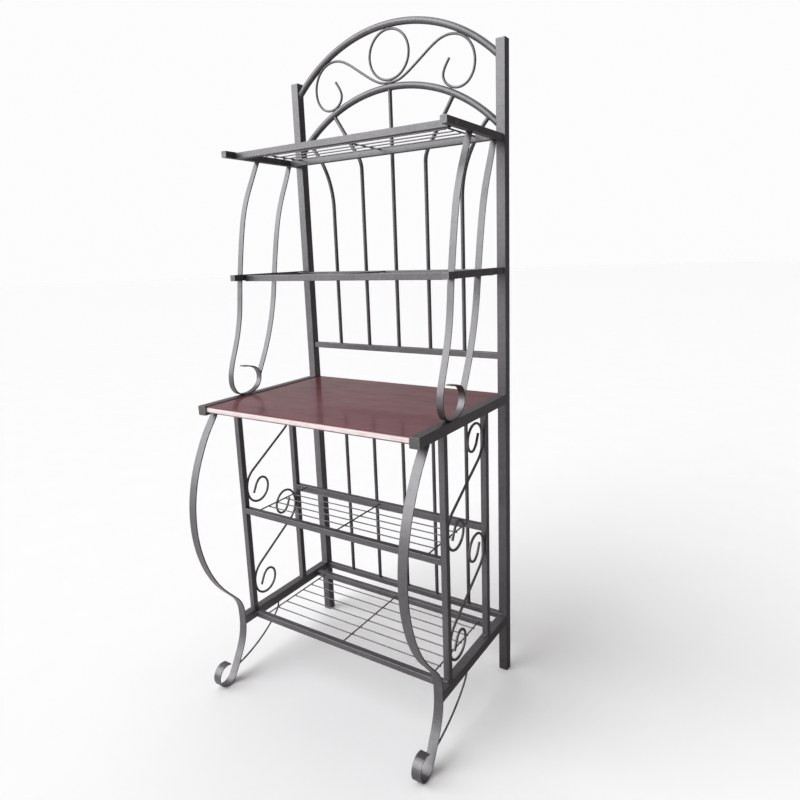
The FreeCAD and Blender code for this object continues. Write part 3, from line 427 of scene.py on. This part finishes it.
def square_ring(axis, at, half, cut=1.2):
    """Outline of a square tube's end, across one axis."""
    flat = [(-half + cut, -half), (half - cut, -half), (half, -half + cut), (half, half - cut),
            (half - cut, half), (-half + cut, half), (-half, half - cut), (-half, -half + cut)]
    out = []
    for u, v in flat:
        p = [u, v]
        p.insert(axis, 0.0)
        out.append(tuple(a + b for a, b in zip(at, p)))
    return out


def saddle(start, along, bar, tube, arch_radius, arch_z, count=28):
    """Where a round bar meets the lower arch: the bar's surface, run on until it reaches the arch tube."""
    start, along = Vector(start), Vector(along).normalized()
    a = along.cross(Vector((0, 1, 0))).normalized()
    out = []
    for k in range(count):
        w = 2 * math.pi * k / count
        p = start + (a * math.cos(w) + Vector((0, 1, 0)) * math.sin(w)) * bar
        lo, hi = 0.0, 200.0
        for _ in range(40):
            t = (lo + hi) / 2
            q = p + along * t
            away = math.hypot(math.hypot(q.x, q.z - arch_z) - arch_radius, q.y - BACK_Y)
            outside = away > tube and math.hypot(q.x, q.z - arch_z) < arch_radius
            lo, hi = (t, hi) if outside else (lo, t)
        out.append(p + along * lo)
    return out


BACK_Y, POST, RAIL_END = 231.6, 300.9, 289.4
frame_welds, wire_welds = Shape(), Shape()

for sx in (-1, 1):
    # cross rails butted on the posts and on the side rails
    for y, z in ((BACK_Y, 842.5), (BACK_Y, 149.5), (-75.4, 147.5), (178.1, 147.5)):
        bead(frame_welds, square_ring(0, (sx * RAIL_END, y, z), 7.5), 1.35, (1, 0, 0), True, y * 0.1 + z + sx)
    for y in (BACK_Y, -75.4):
        for side in (-7.5, 7.5):
            bead(frame_welds, [(sx * RAIL_END, y + side, 727.2), (sx * RAIL_END, y + side, 731.0)], 1.3, (1, 0, 0), seed=y + side)
        bead(frame_welds, [(sx * 289.2, y - 6.6, 726.2), (sx * 289.2, y + 6.6, 726.2)], 1.5, (0, 0, 1), seed=y * 0.3)
    # inner posts on the lower side rails and under the top ones; the feet carry the heavier weld
    for y in (-75.4, 120.6):
        bead(frame_welds, square_ring(2, (sx * POST, y, 160.0), 7.5), 1.9, (0, 0, 1), True, y + sx, pitch=2.4)
        bead(frame_welds, square_ring(2, (sx * POST, y, 726.3), 7.5), 1.3, (0, 0, 1), True, y - sx)
        lump(frame_welds, (sx * POST + 1.6, y - 8.0, 161.0), (4.6, 2.4, 2.7), y * 0.3 + sx)
        lump(frame_welds, (sx * POST + 8.0, y + 0.8, 160.9), (2.2, 4.0, 2.4), y * 0.7 + sx)
    # side rails on the back posts
    for low, high in ((137.0, 160.0), (726.3, 749.3)):
        for z in (low, high):
            bead(frame_welds, [(sx * 291.0, 220.1, z), (sx * 310.6, 220.1, z)], 1.4, (0, 0, 1), seed=z + sx)
    bead(frame_welds, [(sx * RAIL_END, 220.1, 138.5), (sx * RAIL_END, 220.1, 158.5)], 1.3, (1, 0, 0), seed=sx)
    # front legs under the top rail, and against the end of the lower rail
    for y in (-148.4, -144.0):
        bead(frame_welds, [(sx * 291.2, y, 726.3), (sx * 310.6, y, 726.3)], 1.5, (0, 0, 1), seed=y + sx)
    for z in (137.0, 160.0):
        bead(frame_welds, [(sx * 291.2, -117.9, z), (sx * 310.6, -117.9, z)], 1.6, (0, 0, 1), seed=z - sx)
    bead(frame_welds, [(sx * 289.9, -117.7, 139.0), (sx * 289.9, -117.7, 158.0)], 1.2, (1, 0, 0), seed=4.0 + sx)
    # braces
    ring = [(sx * POST + 2.5 * math.cos(w), 13.1 + 2.5 * math.sin(w), 137.0) for w in [math.pi * k / 10 for k in range(20)]]
    bead(wire_welds, ring, 1.2, (0, 0, 1), True, 2.0 + sx, 0.5, 7)
    lump(wire_welds, (sx * POST, -155.6, 31.0), (3.6, 2.3, 3.4), 6.0 + sx, tilt=28)
    # shelf brackets, at the work top's rail and at both shelves' side rails
    for x in (294.9, 309.9):
        bead(frame_welds, [(sx * x, -49.5, 749.5), (sx * x, -30.0, 749.5)], 1.15, (0, 0, 1), seed=x * sx)
    for z, ys in ((1039.1, (-30.2, -26.8, 90.9, 95.1)), (1054.1, (-27.6, -24.1, 92.9, 97.4)), (1333.7, (60.0, 63.9, 178.1, 181.8))):
        for y in ys:
            bead(frame_welds, [(sx * 296.2, y, z), (sx * 308.6, y, z)], 1.25, (0, 0, 1), seed=y + z * sx)
    bead(frame_welds, [(sx * 296.4, 12.7, 798.4), (sx * 308.4, 12.7, 798.4)], 1.3, (0, 0, 1), seed=7.0 * sx)
    bead(frame_welds, [(sx * 296.4, 11.4, 794.2), (sx * 308.4, 11.4, 794.2)], 1.1, (0, 0, 1), seed=9.0 * sx)
    # mounting plates on the ends of the side rails
    for z in (1039.1, 1333.7):
        for x in (294.9, 309.9):
            bead(frame_welds, [(sx * x, 217.1, z + 1.6), (sx * x, 217.1, z + 13.4)], 1.2, (1, 0, 0), seed=x + z + sx)
    # arches on the posts
    for radius, tube, zc in ((413.5, 8.0, 1226.4), (406.0, 8.0, 1090.7)):
        ring = []
        for k in range(36):
            w = 2 * math.pi * k / 36
            rho = radius + tube * math.cos(w)
            ring.append((sx * RAIL_END, BACK_Y + tube * math.sin(w), zc + math.sqrt(rho * rho - RAIL_END * RAIL_END)))
        bead(frame_welds, ring, 1.45, (1, 0, 0), True, radius + sx)
    # side scrolls on the inner posts
    for y, z in ((-67.85, 497.9), (-67.85, 231.5), (113.05, 667.3), (113.05, 400.9)):
        lump(wire_welds, (sx * POST, y, z), (2.6, 1.7, 5.0), z + sx)

# back bars: on the rails, and up against the lower arch
for x in (0.0, -96.8, 96.8, -195.6, 195.6):
    for z in (850.0, 716.3, 157.0):
        ring = [(x + 4.8 * math.cos(w), BACK_Y + 4.8 * math.sin(w), z) for w in [math.pi * k / 14 for k in range(28)]]
        bead(frame_welds, ring, 1.1, (0, 0, 1), True, x + z, 0.5, 7)
    s = -1 if x < 0 else 1
    if x == 0.0:
        start, along = (0.0, BACK_Y, 1440.0), (0, 0, 1)
    elif abs(x) < 100:
        start, along = (s * (96.8 + 91.0 * 0.62), BACK_Y, 1329.0 + 139.2 * 0.62), (s * 91.0, 0, 139.2)
    else:
        a = math.radians(46)
        reach = 258.0 * math.tan(a / 2)
        start, along = (x + s * math.sin(a) * (reach - 20), BACK_Y, 1213.0 + reach + math.cos(a) * (reach - 20)), (s * math.sin(a), 0, math.cos(a))
    bead(frame_welds, saddle(start, along, 4.8, 8.0, 406.0, 1090.7), 1.15, along, True, x * 0.7, 0.5, 7)

# ring and scroll of the back panel
for x, z, size in ((0, 1511.0, (4.2, 2.5, 2.0)), (0, 1631.6, (4.6, 2.6, 1.8)), (0, 1505.2, (4.6, 2.6, 1.6))):
    lump(wire_welds, (x, BACK_Y, z), size, z)
for s in (-1, 1):
    lump(wire_welds, (s * 170.0, BACK_Y, 1468.2), (4.2, 2.5, 2.0), s * 3.0)
    lump(wire_welds, (s * 203.0, BACK_Y, 1577.0), (4.0, 2.5, 2.6), s * 5.0)

# shelf wires: their ends on the rails, and a spot weld at every crossing
for top, front, rear, first, pitch, count in ((1346.7, -1.9, 176.1, 206.0, 32.5, 5), (1052.1, -1.9, 176.1, 206.0, 32.5, 5),
                                              (451.0, -67.9, 113.1, 254.0, 31.6, 5), (155.0, -67.9, 170.6, 250.5, 34.4, 6)):
    for x in (-255.0, 0.0, 255.0):
        for y in (front, rear):
            lump(wire_welds, (x, y, top - 2.6), (2.7, 1.2, 2.3), x + y + top)
        for i in range(count):
            lump(wire_welds, (x, 220.1 - first + pitch * i, top - 4.1), (2.1, 1.9, 1.0), x * 0.3 + i + top, 2)

frame_welds.piece("frame_weld_beads", coat, "frame_steel")
wire_welds.piece("wire_spot_welds", coat, "frame_steel")


def cross_screw(length, thread=0.8):
    """A domed head with a cross recess, head up from z = 0, and a threaded shank below it."""
    bm = bmesh.new()

    def dome(r):
        return 2.4 - 1.55 * (r / 5.0) ** 2.4

    arm, half = 2.35, 0.52
    outline = [(arm, -half), (arm, half), (half, half), (half, arm), (-half, arm), (-half, half),
               (-arm, half), (-arm, -half), (-half, -half), (-half, -arm), (half, -arm), (half, -half)]
    lip = [bm.verts.new((x, y, dome(math.hypot(x, y)))) for x, y in outline]
    pit = [bm.verts.new((x * 0.62, y * 0.62, 0.95 if math.hypot(x, y) > 1.0 else 0.75)) for x, y in outline]
    rings = []
    profile = [(3.1, dome(3.1)), (3.7, dome(3.7)), (4.2, dome(4.2)), (4.6, dome(4.6)), (4.85, dome(4.85) - 0.06),
               (5.0, 0.62), (5.0, 0.10), (4.92, 0.0), (2.3, 0.0), (2.0, -0.25)]
    z = -0.5
    while z > -length + 1.5:
        profile += [(2.0, z), (1.68, z - thread / 2)]
        z -= thread
    profile += [(1.5, -length + 0.8), (0.5, -length)]
    for r, z in profile:
        rings.append([bm.verts.new((r * math.cos(2 * math.pi * k / 24), r * math.sin(2 * math.pi * k / 24), z)) for k in range(24)])
    for a, b in zip(rings, rings[1:]):
        for k in range(24):
            m = (k + 1) % 24
            bm.faces.new((a[k], b[k], b[m], a[m]))
    bm.faces.new(rings[-1][::-1])
    for k in range(12):
        m = (k + 1) % 12
        bm.faces.new((lip[m], lip[k], pit[k], pit[m]))
    bm.faces.new(pit)
    edges = [bm.edges.get((loop[k], loop[(k + 1) % len(loop)])) or bm.edges.new((loop[k], loop[(k + 1) % len(loop)]))
             for loop in (lip, rings[0]) for k in range(len(loop))]
    bmesh.ops.triangle_fill(bm, edges=edges, use_beauty=True)
    bmesh.ops.recalc_face_normals(bm, faces=bm.faces)
    bm.verts.index_update()
    data = [v.co.copy() for v in bm.verts], [tuple(v.index for v in f.verts) for f in bm.faces]
    bm.free()
    return data


def set_screws(name, node, places):
    """places: (head's seat, outward direction, shank length, turn of the recess)."""
    shape = Shape()
    for at, out, length, turn in places:
        verts, faces = cross_screw(length)
        m = Vector(out).to_track_quat("Z", "Y").to_matrix() @ Matrix.Rotation(math.radians(turn), 3, "Z")
        shape.add([Vector(at) + m @ v for v in verts], faces)
    obj = shape.piece(name, screw, "screw_steel", 35)
    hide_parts(node)
    return obj


places = []
for s in (-1, 1):
    for z in (1339.2, 1044.6):
        for y in (-9.4, 183.6):
            places.append(((s * 309.9, y, z), (s, 0, 0), 23.5, 17.0 * len(places)))
    for y in (-75.4, 120.6):
        places.append(((s * 308.4, y, 443.5), (s, 0, 0), 23.5, 17.0 * len(places)))
set_screws("rail_screw_set", "rail_screws", places)
set_screws("board_screw_set", "board_screws", [((s * 180.0, -75.4, 716.3), (0, 0, -1), 24.5, 20.0 + 30 * s) for s in (-1, 1)])


# ---------------------------------------------------------------------------
# floor, light, camera
# ---------------------------------------------------------------------------
FILL = 0.24, 0.88           # how much light the floor gives back to the object: behind it, and in front, near the key light
def floor():
    """Pale painted floor.  It shows at its full paleness, and gives the object only a dim, soft fill, with a painted
    pool of light in front near the key light and painted shade behind.
    """
    bm = bmesh.new()
    bmesh.ops.create_circle(bm, cap_ends=True, segments=96, radius=40.0)
    me = bpy.data.meshes.new("floor")
    bm.to_mesh(me)
    bm.free()
    obj = bpy.data.objects.new("floor", me)
    scene.collection.objects.link(obj)
    obj.location.z = cad_box[0][2] - 0.0002
    m = Tree("floor_paint")
    m.colour(m.ramp(m.noise(6.0, 2.0), [(0.3, (0.93, 0.93, 0.93)), (0.7, (0.94, 0.94, 0.94))]))
    m.rough(0.8)
    m.const("Specular IOR Level", 0.1)
    dim = m.t.nodes.new("ShaderNodeBsdfDiffuse")
    place = m.t.nodes.new("ShaderNodeSeparateXYZ")
    m.put(place.inputs[0], m.coord)
    # painted pool of light: the fill colour is brighter ahead, towards the key light, and dimmer behind
    ahead = m.math("ADD", m.math("MULTIPLY", place.outputs[0], -0.45), m.math("MULTIPLY", place.outputs[1], -0.89))
    near = m.ramp(m.rescale(ahead, 0.0, 1.0, -0.28, 0.30),
                  [(0.0, (FILL[0], FILL[0] * 0.95, FILL[0] * 0.95)), (1.0, (FILL[1], FILL[1] * 0.98, FILL[1] * 0.98))])
    # painted shade: farther in front the fill grows dimmer from left to right
    across = m.rescale(place.outputs[0], 1.0, 0.60, -0.75, 0.0)
    m.put(dim.inputs[0], m.mix(m.rescale(ahead, 0.0, 1.0, 0.35, 0.75), near, m.mix(1.0, near, across, "MULTIPLY")))
    ray = m.t.nodes.new("ShaderNodeLightPath")
    both = m.t.nodes.new("ShaderNodeMixShader")
    m.t.links.new(ray.outputs["Is Camera Ray"], both.inputs[0])
    m.t.links.new(dim.outputs[0], both.inputs[1])
    m.t.links.new(m.bsdf.outputs[0], both.inputs[2])
    m.t.links.new(both.outputs[0], m.out.inputs[0])
    me.materials.append(m.mat)


def sun(name, direction, strength, spread, colour=(1, 1, 1)):
    """A far, wide, soft lamp: its light comes from that direction."""
    data = bpy.data.lights.new(name, "SUN")
    data.energy = strength
    data.angle = math.radians(spread)
    data.color = colour
    obj = bpy.data.objects.new(name, data)
    scene.collection.objects.link(obj)
    obj.rotation_euler = (-Vector(direction)).to_track_quat("-Z", "Y").to_euler()
    return obj


floor()
sun("key", (-0.62, -0.80, 0.68), 3.35, 64, (0.98, 0.985, 1.0))
sun("top", (-0.15, 0.25, 1.0), 0.9, 60)

LIT = 0.18, 0.48            # the studio's dim surroundings, and the glow in them
world = bpy.data.worlds.new("studio")
world.use_nodes = True
wt = world.node_tree
wt.nodes.clear()
wo = wt.nodes.new("ShaderNodeOutputWorld")
seen = wt.nodes.new("ShaderNodeBackground")
seen.inputs[0].default_value = (0.982, 0.976, 0.985, 1)
seen.inputs[1].default_value = 1.0
lit = wt.nodes.new("ShaderNodeBackground")
lit.inputs[0].default_value = (1.0, 0.95, 0.96, 1)
# a wide soft glow, high on the left behind the object
way = wt.nodes.new("ShaderNodeTexCoord")
near = wt.nodes.new("ShaderNodeVectorMath")
near.operation = "DOT_PRODUCT"
near.inputs[1].default_value = Vector((-0.74, 0.55, 0.40)).normalized()
wt.links.new(way.outputs["Generated"], near.inputs[0])
glow = wt.nodes.new("ShaderNodeMapRange")
glow.interpolation_type = "SMOOTHSTEP"
for k, v in enumerate((0.0, 0.78, 0.99, LIT[0], LIT[1])):
    if k:
        glow.inputs[k].default_value = v
wt.links.new(near.outputs["Value"], glow.inputs[0])
wt.links.new(glow.outputs[0], lit.inputs[1])
path = wt.nodes.new("ShaderNodeLightPath")
both = wt.nodes.new("ShaderNodeMixShader")
wt.links.new(path.outputs["Is Camera Ray"], both.inputs[0])
wt.links.new(lit.outputs[0], both.inputs[1])
wt.links.new(seen.outputs[0], both.inputs[2])
wt.links.new(both.outputs[0], wo.inputs[0])
scene.world = world
scene.view_settings.view_transform = "Standard"
scene.view_settings.look = "None"


def camera():
    """Stands where the photograph was taken: in front of the object, to its right, at chest height."""
    tilt, turn, roll = -0.195037469, 0.568182548, -0.033381163
    focal, cx, cy = 627.984221, 410.298469, 378.000482
    fwd = Vector((-math.sin(turn) * math.cos(tilt), math.cos(turn) * math.cos(tilt), math.sin(tilt)))
    right = Vector((math.cos(turn), math.sin(turn), 0.0))
    up = right.cross(fwd)
    r2 = math.cos(roll) * right + math.sin(roll) * up
    u2 = -math.sin(roll) * right + math.cos(roll) * up
    data = bpy.data.cameras.new("camera")
    data.sensor_width = 36.0
    data.sensor_fit = "HORIZONTAL"
    data.lens = focal * 36.0 / 800.0
    data.shift_x = (400.0 - cx) / 800.0
    data.shift_y = (cy - 400.0) / 800.0
    data.clip_end = 200.0
    obj = bpy.data.objects.new("camera", data)
    scene.collection.objects.link(obj)
    m = Matrix((r2, u2, -fwd)).transposed().to_4x4()
    m.translation = Vector((0.915559301, -1.373413547 + 0.2201, 1.091629677))
    obj.matrix_world = m
    scene.camera = obj


camera()
